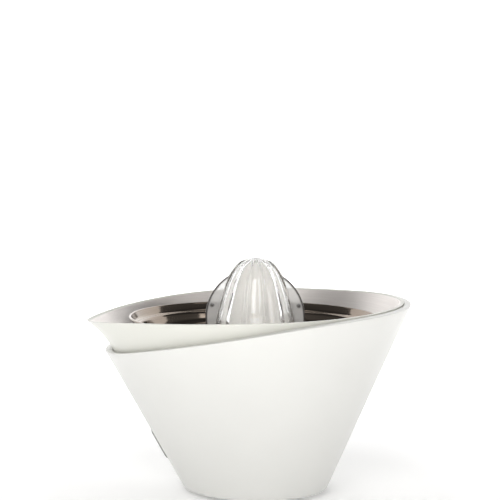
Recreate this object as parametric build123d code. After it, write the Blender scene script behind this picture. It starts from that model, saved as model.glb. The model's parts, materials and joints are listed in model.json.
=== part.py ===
from build123d import *
from math import acos, atan2, cos, degrees, pi, radians, sin, sqrt, tan
import os

# Electric citrus press. Millimetres, +Z up. The origin is on the table, on the axis of the drive shaft.
# The pouring beak points along -X and the mains lead enters at the back, on +Y.

# ---- driving dimensions --------------------------------------------------------------------------
FOOT_HEIGHT = 3.0
SHELL_WALL = 3.1
CUT_TOP = 200.0          # anything above a rim curve is cut away up to here
CUT_REACH = 180.0
BEYOND = 1.0             # how far a cutting shape runs past the face it cuts
SCREW_HOLE = 1.5         # radius of a hole that a screw's thread fills
SCREW_CLEARANCE = 1.7    # radius of a hole that a screw passes through

# The body is an oblique cone: its radius and the x of its centre change evenly with height.
BODY_RADIUS_AT_TABLE = 50.0
BODY_FLARE = 0.504
BODY_CENTRE_AT_TABLE = 1.76
BODY_LEAN = -0.0724
BODY_TOP = 150.0
BODY_RIM = [(-170, 96.0), (-130, 98.6), (-107, 101.5), (-86, 107.5), (-62, 113.6), (-31, 120.0),
            (0, 125.7), (29, 130.4), (59, 133.7), (92, 135.9), (130, 137), (170, 138)]

# The jug is a stack of circles (z, centre x, radius), cut by its own rim curve.
JUG_SECTIONS = [(68, -3.2, 76.5), (101, -5.6, 94.7), (125, -2.1, 103.1), (145, 0.9, 106.9)]
JUG_RIM = [(-170, 108), (-120, 121.5), (-90, 126.9), (-60, 130.1), (0, 133.5), (60, 135.3), (104, 137.6),
           (170, 141)]
JUG_WALL = 2.4
LINER_WALL = 0.8
LINER_GAP = 0.05
LINER_BELOW_RIM = 0.7
BEAK_FOOT = 100.0        # height where the beak leaves the wall
BEAK_START_X = -100.9
BEAK_SLOPE = 0.381
BEAK_FLARE = 0.027
BEAK_LEVELS = [99, 103, 107, 111, 115, 119, 123, 127, 131]
BEAK_MIN_HALF_ANGLE = 6.0

DECK_BOTTOM = 64.0
DECK_TOP = 67.0
JUG_FLOOR = 68.0
CHIMNEY_TOP = 100.0
CHIMNEY_WIDE = 18.0      # outer radius at its foot
CHIMNEY_SLIM = 13.0      # outer radius at its top
COLLAR_RADIUS = 14.0
COLLAR_TOP = 76.0
BUSH_SEAT_RADIUS = 10.5
BUSH_BOTTOM = 61.0

TRAY_BOTTOM = 44.0
TRAY_TOP = 47.0
TRAY_RADIUS = 59.0
TRAY_POST_CIRCLE = 52.0
TRAY_POST_ANGLES = [110, 180, 250, 320]
TRAY_POST_RADIUS = 4.5

BASE_BOTTOM = FOOT_HEIGHT
BASE_TOP = 5.5
VENT_COUNT = 5
VENT_SPACING = 9.0
VENT_SIZE = (3.0, 14.0)
CORNER_ANGLES = [45, 135, 225, 315]
RIB_THICKNESS = 2.4
PILLAR_CIRCLE = 42.5
PILLAR_RADIUS = 4.5
PILLAR_TOP = 20.0
LUG_CIRCLE = 70.0
LUG_RADIUS = 5.0
LUG_BOTTOM = 48.0
FOOT_CIRCLE = 39.0
FOOT_RADIUS = 6.5

# Gears: two stages, each 4 to 1.
MODULE_FIRST = 0.8
MODULE_SECOND = 1.0
MOTOR_TEETH = 12
MIDDLE_LARGE_TEETH = 48
MIDDLE_SMALL_TEETH = 14
DRIVE_TEETH = 56
DRIVE_HOLES = 6
PRESSURE_ANGLE = 20.0
BACKLASH = 0.24
MIDDLE_DISTANCE = MODULE_SECOND * (MIDDLE_SMALL_TEETH + DRIVE_TEETH) / 2
MOTOR_TO_MIDDLE = MODULE_FIRST * (MOTOR_TEETH + MIDDLE_LARGE_TEETH) / 2
MOTOR_DISTANCE = 33.0    # motor axis from the drive axis, along +X

MOTOR_RADIUS = 19.0
MOTOR_BOTTOM = 12.0
MOTOR_SHAFT_RADIUS = 1.55
MOTOR_SCREW_CIRCLE = 12.5
MOTOR_VENTS = 6
AXLE_RADIUS = 2.0
AXLE_TOP = 63.0
RUNNING_GAP = 0.05

SHAFT_RADIUS = 5.0
SHAFT_FLAT = 4.0         # half the width across the two flats that the gear drives
SHAFT_BOTTOM = 34.0
SHAFT_HEX = 8.0
SHAFT_HEX_BOTTOM = 97.0
SHAFT_TOP = 114.0
SHAFT_TRAVEL = 3.0
HUB_RADIUS = 8.0
HUB_BOTTOM = 50.2
HUB_TOP = 66.0
DISC_RADIUS = 12.5       # disc on the shaft's foot that presses the switch
DISC_BOTTOM = 32.0
SPRING_RADIUS = 5.4
SPRING_WIRE = 1.2
SPRING_PITCH = 2.9
SPRING_SEAT = 16.0
SWITCH_X = -10.4
SWITCH_BOTTOM = 12.0
SWITCH_TOP = 26.0

# Strainer, hub, sleeve and reamer.
STRAINER_RADIUS = 90.0
STRAINER_TOP = 125.25
STRAINER_SHEET = 0.8
STRAINER_BEAD = 1.0
STRAINER_LINE = [(88.0, 124.4), (86.2, 119.8), (83.2, 118.6), (81.4, 112.5), (78.5, 109.6), (22.0, 106.2),
                 (13.5, 106.0)]
SLOT_ROWS = [(32.0, 9.0, 20), (45.0, 9.0, 24), (58.0, 9.0, 30), (70.5, 8.0, 40)]    # radius, length, how many
SLOT_WIDTH = 1.5
HUB_BORE = 11.0
HUB_NECK = 13.5
HUB_RING_TOP = 112.0
SLEEVE_HEX = 13.1
STEM_HEX = 13.0
STEM_TOP = 160.0
REAMER_BASE = 112.5
CORE_LINE = [(25.4, 112.5), (24.9, 121.0), (22.3, 133.0), (18.4, 146.0), (13.2, 156.5), (7.0, 162.5),
             (0.0, 164.6)]
CORE_WALL = 2.2
COVER_GAP = 0.35
COVER_WALL = 1.8
WING_RADIUS = 35.6
WING_CENTRE_Z = 124.0
WING_THICKNESS = 2.6
PIP_X = 30.8             # round pips that stand a little proud of both faces of the wings
PIP_Z = 133.0
PIP_RADIUS = 1.8
PIP_THICKNESS = 3.6
FLUTE_COUNT = 12
RIB_WIDTH = 1.6
RIB_HEIGHT = 2.0

# Plain plate on the flank under the beak.
PLATE_LOW = 22.0
PLATE_HIGH = 42.0
PLATE_WIDTH = 9.0
PLATE_PROUD = 1.2

GLAND_HEIGHT = 15.0
GLAND_RADIUS = 5.0
GLAND_BORE = 3.4
GLAND_REACH = 9.6


# ---- helpers -------------------------------------------------------------------------------------
def at_angle(radius, angle, centre_x=0.0):
    """The point on a circle about the given centre, by its angle in degrees."""
    return centre_x + radius * cos(radians(angle)), radius * sin(radians(angle))


def post(radius, bottom, top, x=0.0, y=0.0):
    """A vertical cylinder between two heights."""
    return Pos(x, y, (bottom + top) / 2) * Cylinder(radius, top - bottom)


def ring(inner, outer, bottom, top, x=0.0, y=0.0):
    """A vertical tube between two heights."""
    return post(outer, bottom, top, x, y) - post(inner, bottom - 1, top + 1, x, y)


def block(x_low, x_high, y_low, y_high, z_low, z_high):
    """A box given by its faces."""
    centre = Pos((x_low + x_high) / 2, (y_low + y_high) / 2, (z_low + z_high) / 2)
    return centre * Box(x_high - x_low, y_high - y_low, z_high - z_low)


def hexagon(across_flats, bottom, top):
    """A vertical hexagonal bar."""
    profile = RegularPolygon(across_flats / 2, 6, major_radius=False)
    return Pos(0, 0, bottom) * extrude(profile, top - bottom)


def turned(points):
    """A solid of revolution about Z from a closed outline of (radius, height) points."""
    outline = Polyline(*[(r, 0, z) for r, z in points], close=True)
    return revolve(make_face(outline), Axis.Z)


def body_centre(z):
    return BODY_CENTRE_AT_TABLE + BODY_LEAN * z


def body_radius(z):
    return BODY_RADIUS_AT_TABLE + BODY_FLARE * z


def body_cone(bottom, top, inset=0.0):
    """The leaning cone of the body between two heights, made smaller all round by the inset."""
    sections = [Pos(body_centre(z), 0, z) * Circle(body_radius(z) - inset) for z in (bottom, top)]
    return loft(sections, ruled=True)


def above_curve(points, drop=0.0):
    """Everything above a rim curve that is the same at every depth."""
    lowered = [(x, 0, z - drop) for x, z in points]
    first = lowered[0]
    last = lowered[-1]
    curve = Spline(*lowered)
    closing = Polyline(last, (last[0], 0, CUT_TOP), (first[0], 0, CUT_TOP), first)
    face = make_face(curve + closing)
    return extrude(face, CUT_REACH, both=True)


def screw(x, y, head_z, tip_z, head_radius=2.8, head_height=2.0, shank_radius=1.5):
    """A pan-head screw with a cross recess. The head stands on head_z, on the side away from the tip."""
    side = 1 if head_z > tip_z else -1
    head_far = head_z + side * head_height
    body = post(head_radius, min(head_z, head_far), max(head_z, head_far), x, y)
    body += post(shank_radius, min(head_z, tip_z), max(head_z, tip_z), x, y)
    recess_z = head_far - side * 0.5
    for length, width in ((3.0, 0.7), (0.7, 3.0)):
        body -= Pos(x, y, recess_z) * Box(length, width, 1.0)
    return body


def involute_point(base_radius, radius, sign, start_angle):
    """A point on the flank that leaves the base circle at start_angle."""
    if radius <= base_radius:
        return radius * cos(start_angle), radius * sin(start_angle)
    roll = sqrt((radius / base_radius) ** 2 - 1)
    angle = start_angle + sign * (roll - atan2(roll, 1))
    return radius * cos(angle), radius * sin(angle)


def gear(teeth, module, bottom, top, first_tooth):
    """A spur gear with short involute teeth. A tooth is centred on the angle first_tooth, in degrees."""
    pitch = module * teeth / 2
    base = pitch * cos(radians(PRESSURE_ANGLE))
    tip = pitch + 0.8 * module
    root = pitch - 1.15 * module
    slant = tan(radians(PRESSURE_ANGLE)) - radians(PRESSURE_ANGLE)
    half_base = (pi * module / 2 - BACKLASH) / (2 * pitch) + slant
    points = []
    for i in range(teeth):
        middle = radians(first_tooth) + 2 * pi * i / teeth
        radii = [root] + [max(base, root) + (tip - max(base, root)) * k / 4 for k in range(5)]
        if base <= root:
            radii = radii[1:]
        rising = [involute_point(base, r, 1, middle - half_base) for r in radii]
        falling = [involute_point(base, r, -1, middle + half_base) for r in reversed(radii)]
        points += rising + falling
    outline = Polyline(*[(x, y, bottom) for x, y in points], close=True)
    return extrude(make_face(outline), top - bottom, dir=(0, 0, 1))


# ---- places worked out from the driving dimensions -----------------------------------------------
square_sum = MIDDLE_DISTANCE**2 + MOTOR_DISTANCE**2 - MOTOR_TO_MIDDLE**2
MIDDLE_ANGLE = degrees(acos(square_sum / (2 * MIDDLE_DISTANCE * MOTOR_DISTANCE)))
MIDDLE_X, MIDDLE_Y = at_angle(MIDDLE_DISTANCE, MIDDLE_ANGLE)
MOTOR_TOWARDS_MIDDLE = degrees(atan2(MIDDLE_Y, MIDDLE_X - MOTOR_DISTANCE))
MIDDLE_TOWARDS_MOTOR = MOTOR_TOWARDS_MIDDLE + 180


# ---- outer casing --------------------------------------------------------------------------------
def make_body_shell():
    outer = body_cone(BASE_BOTTOM, BODY_TOP)
    hollow = body_cone(BASE_BOTTOM - 1, BODY_TOP + 1, SHELL_WALL)
    shell = outer - hollow
    inside_parts = []
    for angle in CORNER_ANGLES:
        x, y = at_angle(PILLAR_CIRCLE, angle, body_centre(BASE_TOP))
        inside_parts.append(post(PILLAR_RADIUS, BASE_TOP, PILLAR_TOP, x, y))
        rib = Box(20, RIB_THICKNESS, PILLAR_TOP - BASE_TOP)
        inside_parts.append(Pos(x, y, (PILLAR_TOP + BASE_TOP) / 2) * Rot(0, 0, angle) * Pos(12, 0, 0) * rib)
        x, y = at_angle(LUG_CIRCLE, angle, body_centre(DECK_BOTTOM))
        inside_parts.append(post(LUG_RADIUS, LUG_BOTTOM, DECK_BOTTOM, x, y))
        rib = Box(14, RIB_THICKNESS, DECK_BOTTOM - LUG_BOTTOM)
        inside_parts.append(Pos(x, y, (LUG_BOTTOM + DECK_BOTTOM) / 2) * Rot(0, 0, angle) * Pos(8, 0, 0) * rib)
    for piece in inside_parts:
        shell += piece & body_cone(BASE_BOTTOM, BODY_TOP, 0.4)
    for angle in CORNER_ANGLES:
        x, y = at_angle(PILLAR_CIRCLE, angle, body_centre(BASE_TOP))
        shell -= post(SCREW_HOLE, BASE_TOP - BEYOND, PILLAR_TOP - 3, x, y)
        x, y = at_angle(LUG_CIRCLE, angle, body_centre(DECK_BOTTOM))
        shell -= post(SCREW_HOLE, LUG_BOTTOM + 3, DECK_BOTTOM + BEYOND, x, y)
    gland_hole = gland_place() * post(GLAND_RADIUS, -6, 6)
    return shell - gland_hole - above_curve(BODY_RIM)


def make_front_plate():
    """A plain slim plate that follows the flank under the beak."""
    low = BASE_TOP + 5
    skin = body_cone(low, 60, -PLATE_PROUD) - body_cone(low - 1, 61)
    middle = (PLATE_LOW + PLATE_HIGH) / 2
    straight = PLATE_HIGH - PLATE_LOW
    place = Plane(origin=(-40, 0, middle), x_dir=(0, 0, 1), z_dir=(-1, 0, 0))
    return skin & extrude(place * SlotOverall(straight, PLATE_WIDTH), 60)


def make_base_plate():
    plate = body_cone(BASE_BOTTOM, BASE_TOP, SHELL_WALL + 0.15)
    plate += post(6.6, BASE_TOP, SPRING_SEAT, 0, 0)
    plate += post(3.8, SPRING_SEAT, SPRING_SEAT + 3, 0, 0)
    plate += block(SWITCH_X - 4, SWITCH_X + 3.2, -9, 9, BASE_TOP, SWITCH_BOTTOM)
    for angle in CORNER_ANGLES:
        x, y = at_angle(PILLAR_CIRCLE, angle, body_centre(BASE_TOP))
        plate -= post(SCREW_CLEARANCE, BASE_BOTTOM - BEYOND, BASE_TOP + BEYOND, x, y)
        plate -= post(3.2, BASE_BOTTOM - BEYOND, BASE_BOTTOM + 1.2, x, y)
    for i in range(VENT_COUNT):
        x = VENT_SPACING * (i - (VENT_COUNT - 1) / 2)
        plate -= Pos(x, -20, BASE_BOTTOM) * Box(*VENT_SIZE, 12)
    return plate


def make_rubber_feet():
    feet = []
    for i in range(4):
        x, y = at_angle(FOOT_CIRCLE, 90 * i, body_centre(0))
        foot = post(FOOT_RADIUS, 0, FOOT_HEIGHT, x, y)
        feet.append(chamfer(foot.edges().sort_by(Axis.Z)[0], 0.8))
    return Compound(children=feet)


def make_base_screws():
    screws = []
    for angle in CORNER_ANGLES:
        x, y = at_angle(PILLAR_CIRCLE, angle, body_centre(BASE_TOP))
        screws.append(screw(x, y, BASE_BOTTOM + 1.2, PILLAR_TOP - 5, head_height=1.1))
    return Compound(children=screws)


def gland_place():
    """The middle of the wall at the back, with local +Z square to the wall and pointing out."""
    slope = atan2(BODY_FLARE, 1)
    middle = body_radius(GLAND_HEIGHT) - SHELL_WALL / 2
    origin = (body_centre(GLAND_HEIGHT), middle, GLAND_HEIGHT)
    return Plane(origin=origin, x_dir=(1, 0, 0), z_dir=(0, cos(slope), -sin(slope)))


def make_cord_gland():
    """A grommet with a collar on each side of the wall and a ribbed neck, all square to the wall."""
    gland = post(GLAND_RADIUS, -5.0, GLAND_REACH) + post(7.0, -5.0, -2.1)
    gland += post(7.0, 1.6, 4.0) + post(5.9, 5.4, 6.8) + post(5.9, 8.2, GLAND_REACH)
    gland -= post(GLAND_BORE, -6.0, GLAND_REACH + 1)
    return gland_place() * gland


# ---- deck, drive and motor -----------------------------------------------------------------------
def make_jug_seat():
    deck = body_cone(DECK_BOTTOM, DECK_TOP, SHELL_WALL + 0.1)
    deck += ring(58, 63, DECK_TOP - 0.5, JUG_FLOOR)
    deck += post(COLLAR_RADIUS, BUSH_BOTTOM, COLLAR_TOP)
    for angle in TRAY_POST_ANGLES:
        x, y = at_angle(TRAY_POST_CIRCLE, angle)
        deck += post(TRAY_POST_RADIUS, TRAY_TOP, DECK_BOTTOM + 0.5, x, y)
    deck -= post(BUSH_SEAT_RADIUS, BUSH_BOTTOM - 1, COLLAR_TOP + 1)
    for angle in TRAY_POST_ANGLES:
        x, y = at_angle(TRAY_POST_CIRCLE, angle)
        deck -= post(SCREW_HOLE, TRAY_TOP - BEYOND, DECK_BOTTOM - 3, x, y)
    for angle in CORNER_ANGLES:
        x, y = at_angle(LUG_CIRCLE, angle, body_centre(DECK_BOTTOM))
        deck -= post(SCREW_CLEARANCE, DECK_BOTTOM - BEYOND, DECK_TOP + BEYOND, x, y)
        deck -= post(3.0, DECK_TOP - 1.4, DECK_TOP + BEYOND, x, y)
    return deck


def make_seat_screws():
    screws = []
    for angle in CORNER_ANGLES:
        x, y = at_angle(LUG_CIRCLE, angle, body_centre(DECK_BOTTOM))
        screws.append(screw(x, y, DECK_TOP - 1.4, LUG_BOTTOM + 5, head_height=1.3))
    return Compound(children=screws)


def make_gear_tray():
    tray = post(TRAY_RADIUS, TRAY_BOTTOM, TRAY_TOP)
    tray += post(11, TRAY_BOTTOM - 2, TRAY_TOP + 1)
    tray -= post(8.0, TRAY_BOTTOM - 3, TRAY_TOP + 2)
    tray -= post(6.0, TRAY_BOTTOM - 3, TRAY_TOP + 1, MOTOR_DISTANCE, 0)
    tray -= post(AXLE_RADIUS, TRAY_BOTTOM - 1, TRAY_TOP + 1, MIDDLE_X, MIDDLE_Y)
    for x, y in motor_screw_places():
        tray -= post(SCREW_HOLE, TRAY_BOTTOM - BEYOND, TRAY_TOP + BEYOND, x, y)
    for angle in TRAY_POST_ANGLES:
        x, y = at_angle(TRAY_POST_CIRCLE, angle)
        tray -= post(SCREW_CLEARANCE, TRAY_BOTTOM - BEYOND, TRAY_TOP + BEYOND, x, y)
    return tray


def make_tray_screws():
    places = [at_angle(TRAY_POST_CIRCLE, angle) for angle in TRAY_POST_ANGLES]
    return Compound(children=[screw(x, y, TRAY_BOTTOM, TRAY_TOP + 12) for x, y in places])


def motor_screw_places():
    """The two holes lie across the line to the middle gear, clear of its teeth."""
    across = MOTOR_TOWARDS_MIDDLE - 90
    places = []
    for angle in (across, across + 180):
        dx, dy = at_angle(MOTOR_SCREW_CIRCLE, angle)
        places.append((MOTOR_DISTANCE + dx, dy))
    return places


def make_motor():
    x = MOTOR_DISTANCE
    motor = post(MOTOR_RADIUS, MOTOR_BOTTOM, TRAY_BOTTOM, x)
    motor = fillet(motor.edges().sort_by(Axis.Z)[0], 2.0)
    motor += post(5, MOTOR_BOTTOM - 2.5, MOTOR_BOTTOM + 1, x)
    motor += post(6.0, TRAY_BOTTOM - 1, TRAY_TOP, x)
    motor -= post(MOTOR_SHAFT_RADIUS + RUNNING_GAP, TRAY_BOTTOM - 5, TRAY_TOP + 1, x)
    for sx, sy in motor_screw_places():
        motor -= post(SCREW_HOLE, TRAY_BOTTOM - 5, TRAY_BOTTOM + BEYOND, sx, sy)
    for i in range(MOTOR_VENTS):
        dx, dy = at_angle(MOTOR_RADIUS, 360 * (i + 0.5) / MOTOR_VENTS)
        motor -= post(1.6, MOTOR_BOTTOM + 8, MOTOR_BOTTOM + 22, x + dx, dy)
    return motor


def make_motor_screws():
    places = motor_screw_places()
    return Compound(children=[screw(x, y, TRAY_TOP, TRAY_BOTTOM - 4, 2.7, 1.2) for x, y in places])


def make_motor_pinion():
    first_tooth = MOTOR_TOWARDS_MIDDLE + 180 / MOTOR_TEETH
    teeth = Pos(MOTOR_DISTANCE, 0, 0) * gear(MOTOR_TEETH, MODULE_FIRST, 48.0, 54.0, first_tooth)
    return teeth + post(MOTOR_SHAFT_RADIUS, TRAY_BOTTOM - 4, 54.0, MOTOR_DISTANCE)


def make_middle_gear():
    large = gear(MIDDLE_LARGE_TEETH, MODULE_FIRST, 48.5, 53.5, MIDDLE_TOWARDS_MOTOR)
    first_tooth = MIDDLE_ANGLE + 180 + 180 / MIDDLE_SMALL_TEETH
    small = gear(MIDDLE_SMALL_TEETH, MODULE_SECOND, 53.0, 61.0, first_tooth)
    bore = post(AXLE_RADIUS + RUNNING_GAP, 40, 70)
    lightening = post(15.5, 52.3, 60) - post(9.5, 50, 61)
    return Pos(MIDDLE_X, MIDDLE_Y, 0) * (large + small - bore - lightening)


def make_middle_axle():
    axle = post(AXLE_RADIUS, TRAY_BOTTOM, AXLE_TOP, MIDDLE_X, MIDDLE_Y)
    return axle + ring(AXLE_RADIUS - 0.5, 4.0, TRAY_TOP, 48.3, MIDDLE_X, MIDDLE_Y)


def make_drive_gear():
    wheel = gear(DRIVE_TEETH, MODULE_SECOND, 55.0, 60.0, MIDDLE_ANGLE)
    wheel -= post(25, 58.5, 61)
    wheel += post(HUB_RADIUS, HUB_BOTTOM, HUB_TOP)
    for i in range(DRIVE_HOLES):
        x, y = at_angle(17, 360 * i / DRIVE_HOLES)
        wheel -= post(4.5, 54, 61, x, y)
    return wheel - flatted_bar(RUNNING_GAP, HUB_BOTTOM - 1, HUB_TOP + 1)


def flatted_bar(gap, bottom, top):
    """The round bar with two flats on which the gear drives the shaft."""
    half = SHAFT_FLAT + gap
    return post(SHAFT_RADIUS + gap, bottom, top) & block(-20, 20, -half, half, bottom - 1, top + 1)


def make_drive_shaft():
    shaft = post(SHAFT_RADIUS, SHAFT_BOTTOM - 1, SHAFT_HEX_BOTTOM + 1)
    for side in (-1, 1):
        y = side * (SHAFT_FLAT + 5)
        shaft -= block(-20, 20, y - 5, y + 5, 49.5, HUB_TOP + SHAFT_TRAVEL + 0.5)
    shaft += hexagon(SHAFT_HEX, SHAFT_HEX_BOTTOM, SHAFT_TOP)
    return shaft + post(DISC_RADIUS, DISC_BOTTOM, SHAFT_BOTTOM)


def make_retaining_ring():
    clip = ring(SHAFT_RADIUS, 7.6, 39.9, 41.9)
    return clip - block(0, 10, -2.6, 2.6, 39, 43)


def make_lower_bush():
    bore = SHAFT_RADIUS + RUNNING_GAP
    return ring(bore, 8.0, 42.0, 49.0) + ring(bore, 10.0, 48.0, 50.0)


def make_upper_bush():
    return ring(HUB_RADIUS + RUNNING_GAP, BUSH_SEAT_RADIUS, BUSH_BOTTOM, DECK_TOP)


def make_shaft_seal():
    bore = SHAFT_RADIUS + RUNNING_GAP
    return turned([(bore, 71.6), (bore, 72.8), (7.4, 73.6), (9.4, 73.6), (BUSH_SEAT_RADIUS, 73.6),
                   (BUSH_SEAT_RADIUS, 69.0), (9.0, 69.0), (8.2, 71.6)])


def make_return_spring():
    """A compression spring with closed, flat end turns."""
    bottom = SPRING_SEAT + SPRING_WIRE / 2
    top = DISC_BOTTOM - SPRING_WIRE / 2
    turns = [Pos(0, 0, z) * Torus(SPRING_RADIUS, SPRING_WIRE / 2) for z in (bottom, top)]
    height = top - bottom
    path = Pos(0, 0, bottom) * Helix(height / round(height / SPRING_PITCH), height, SPRING_RADIUS)
    section = Plane(origin=path @ 0, z_dir=path % 0) * Circle(SPRING_WIRE / 2)
    return turns[0] + turns[1] + sweep(section, path=path)


def make_microswitch():
    switch = block(SWITCH_X - 3.6, SWITCH_X + 3.2, -10, 10, SWITCH_BOTTOM, SWITCH_TOP)
    switch -= post(1.35, 20, SWITCH_TOP + BEYOND, SWITCH_X, 0)
    for y in (-4.8, 4.8):
        switch -= Pos(SWITCH_X, y, 16) * Rot(0, 90, 0) * Cylinder(1.2, 20)
    return switch


def make_switch_plunger():
    return post(1.3, SWITCH_TOP - 2.5, DISC_BOTTOM - RUNNING_GAP, SWITCH_X, 0)


# ---- jug -----------------------------------------------------------------------------------------
def jug_circle(z):
    """Centre x and radius of the jug at a height, between the listed sections."""
    rows = JUG_SECTIONS
    for (z_a, c_a, r_a), (z_b, c_b, r_b) in zip(rows, rows[1:]):
        if z <= z_b:
            part = (z - z_a) / (z_b - z_a)
            return c_a + part * (c_b - c_a), r_a + part * (r_b - r_a)
    return rows[-1][1], rows[-1][2]


def beak_tip(z):
    """How far the beak reaches along -X at a height. It curves outwards towards the lip."""
    rise = z - BEAK_FOOT
    return BEAK_START_X - BEAK_SLOPE * rise - BEAK_FLARE * rise * abs(rise)


def beak_solid(inset):
    """The wedge of the beak, whose sides run tangent to the jug's wall."""
    sections = []
    for z in BEAK_LEVELS:
        centre, radius = jug_circle(z)
        reach = centre - beak_tip(z)
        half = degrees(acos(min(1.0, radius / reach)))
        half = max(half, BEAK_MIN_HALF_ANGLE)
        edge = radius - inset - 0.02
        tip = beak_tip(z) + inset / cos(radians(half))
        x, y = at_angle(edge, 180 - half, centre)
        corners = [(x, y, z), (tip, 0, z), (x, -y, z), (centre - edge * 0.7, 0, z)]
        sections.append(make_face(Polyline(*corners, close=True)))
    return loft(sections, ruled=True)


def jug_solid(inset, floor):
    """The filled jug, made smaller all round by the inset and standing on the given floor."""
    circles = [Pos(c, 0, z) * Circle(r - inset) for z, c, r in JUG_SECTIONS]
    whole = loft(circles)
    whole += beak_solid(inset)
    return whole - block(-150, 150, -150, 150, 0, floor)


def chimney(outer_growth, bottom):
    """The filled outside shape of the sleeve that the drive shaft comes up through."""
    wide = CHIMNEY_WIDE + outer_growth
    slim = CHIMNEY_SLIM + outer_growth
    return turned([(0, bottom), (wide, bottom), (wide, 78), (slim, 90), (slim, CHIMNEY_TOP), (0, CHIMNEY_TOP)])


def make_juice_jug():
    jug = jug_solid(0.0, JUG_FLOOR) - jug_solid(JUG_WALL, JUG_FLOOR + JUG_WALL)
    jug += chimney(0.0, JUG_FLOOR)
    jug -= turned([(0, 60), (15.5, 60), (15.5, 77), (9.0, 88), (9.0, 110), (0, 110)])
    return jug - above_curve(JUG_RIM)


def make_jug_liner():
    outside = JUG_WALL + LINER_GAP
    floor = JUG_FLOOR + JUG_WALL + LINER_GAP
    liner = jug_solid(outside, floor) - jug_solid(outside + LINER_WALL, floor + LINER_WALL)
    liner += chimney(LINER_WALL + LINER_GAP, floor)
    liner -= chimney(LINER_GAP, floor - 5)
    liner -= post(30, CHIMNEY_TOP - 0.5, CHIMNEY_TOP + 3)
    return liner - above_curve(JUG_RIM, LINER_BELOW_RIM)


# ---- strainer ------------------------------------------------------------------------------------
def make_strainer():
    upper = STRAINER_LINE
    lower = [(r - 0.35, z - STRAINER_SHEET) for r, z in reversed(upper[4:])]
    lower += [(r + STRAINER_SHEET, z - 0.35) for r, z in reversed(upper[:4])]
    lower[0] = (upper[-1][0], upper[-1][1] - STRAINER_SHEET)
    bowl = turned(upper + lower)
    bead_centre = STRAINER_TOP - STRAINER_BEAD
    bowl += Pos(0, 0, bead_centre) * Torus(STRAINER_RADIUS - STRAINER_BEAD, STRAINER_BEAD)
    for radius, length, count in SLOT_ROWS:
        for i in range(count):
            slot = Box(length, SLOT_WIDTH, 12)
            bowl -= Rot(0, 0, 360 * (i + 0.5) / count) * Pos(radius, 0, 107) * slot
    return bowl


def make_strainer_hub():
    floor = STRAINER_LINE[-1][1] - STRAINER_SHEET
    hub = ring(HUB_BORE, HUB_NECK, CHIMNEY_TOP, HUB_RING_TOP)
    hub += ring(HUB_BORE, 17.0, CHIMNEY_TOP, floor)
    hub += ring(14.3, 17.0, CHIMNEY_TOP - 6, CHIMNEY_TOP + 1)
    return hub


def make_drive_sleeve():
    sleeve = post(HUB_BORE - RUNNING_GAP, CHIMNEY_TOP + 2, HUB_RING_TOP + 1)
    sleeve += post(13.2, HUB_RING_TOP + RUNNING_GAP, HUB_RING_TOP + 1.4)
    return sleeve - hexagon(SLEEVE_HEX, CHIMNEY_TOP, HUB_RING_TOP + 3)


# ---- reamer --------------------------------------------------------------------------------------
def grown(points, amount):
    """The core's outline moved out by an amount, with its foot kept level."""
    moved = []
    for r, z in points:
        slope_z = max(0.0, (z - points[0][1]) / (points[-1][1] - points[0][1]))
        moved.append((r + amount if r > 0 else 0.0, z + amount * slope_z**2))
    return moved


def dome(points):
    """A smooth filled dome through the outline's points."""
    start = points[0]
    curve = Spline(*[(r, 0, z) for r, z in points])
    closing = Polyline((0, 0, points[-1][1]), (0, 0, start[1]), (start[0], 0, start[1]))
    return revolve(make_face(curve + closing), Axis.Z)


def make_reamer_core():
    inside = [(max(0.0, r - CORE_WALL), z) for r, z in CORE_LINE[:-1]]
    inside = inside[:-1] + [(0.0, CORE_LINE[-2][1] - 2.0)]
    core = dome(CORE_LINE) - dome(inside)
    core += hexagon(STEM_HEX, CHIMNEY_TOP + 1, STEM_TOP)
    core -= hexagon(SHAFT_HEX + 0.16, CHIMNEY_TOP, SHAFT_TOP + 0.1)
    return core


def make_reamer_cover():
    skin_line = grown(CORE_LINE, COVER_GAP + COVER_WALL)
    cover = dome(skin_line)
    rib_line = grown(CORE_LINE, COVER_GAP + COVER_WALL + RIB_HEIGHT)
    ribs = None
    for i in range(FLUTE_COUNT // 2):
        plane = block(-45, 45, -RIB_WIDTH / 2, RIB_WIDTH / 2, REAMER_BASE, 175)
        blade = Rot(0, 0, 360 * (i + 0.5) / FLUTE_COUNT) * plane
        ribs = blade if ribs is None else ribs + blade
    cover += ribs & dome(rib_line)
    wing = Pos(0, 0, WING_CENTRE_Z) * Rot(90, 0, 0) * Cylinder(WING_RADIUS, WING_THICKNESS)
    for x in (-PIP_X, PIP_X):
        wing += Pos(x, 0, PIP_Z) * Rot(90, 0, 0) * Cylinder(PIP_RADIUS, PIP_THICKNESS)
    cover += wing - block(-60, 60, -10, 10, 80, REAMER_BASE)
    return cover - dome(grown(CORE_LINE, COVER_GAP)) - block(-60, 60, -60, 60, 80, REAMER_BASE)


# ---- write every node ----------------------------------------------------------------------------
NODES = {
    "body_shell": make_body_shell,
    "front_plate": make_front_plate,
    "base_plate": make_base_plate,
    "rubber_feet": make_rubber_feet,
    "base_screws": make_base_screws,
    "cord_gland": make_cord_gland,
    "jug_seat": make_jug_seat,
    "seat_screws": make_seat_screws,
    "gear_tray": make_gear_tray,
    "tray_screws": make_tray_screws,
    "motor": make_motor,
    "motor_screws": make_motor_screws,
    "motor_pinion": make_motor_pinion,
    "middle_gear": make_middle_gear,
    "middle_axle": make_middle_axle,
    "drive_gear": make_drive_gear,
    "drive_shaft": make_drive_shaft,
    "retaining_ring": make_retaining_ring,
    "lower_bush": make_lower_bush,
    "upper_bush": make_upper_bush,
    "shaft_seal": make_shaft_seal,
    "return_spring": make_return_spring,
    "microswitch": make_microswitch,
    "switch_plunger": make_switch_plunger,
    "juice_jug": make_juice_jug,
    "jug_liner": make_jug_liner,
    "strainer": make_strainer,
    "strainer_hub": make_strainer_hub,
    "drive_sleeve": make_drive_sleeve,
    "reamer_core": make_reamer_core,
    "reamer_cover": make_reamer_cover,
}

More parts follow.
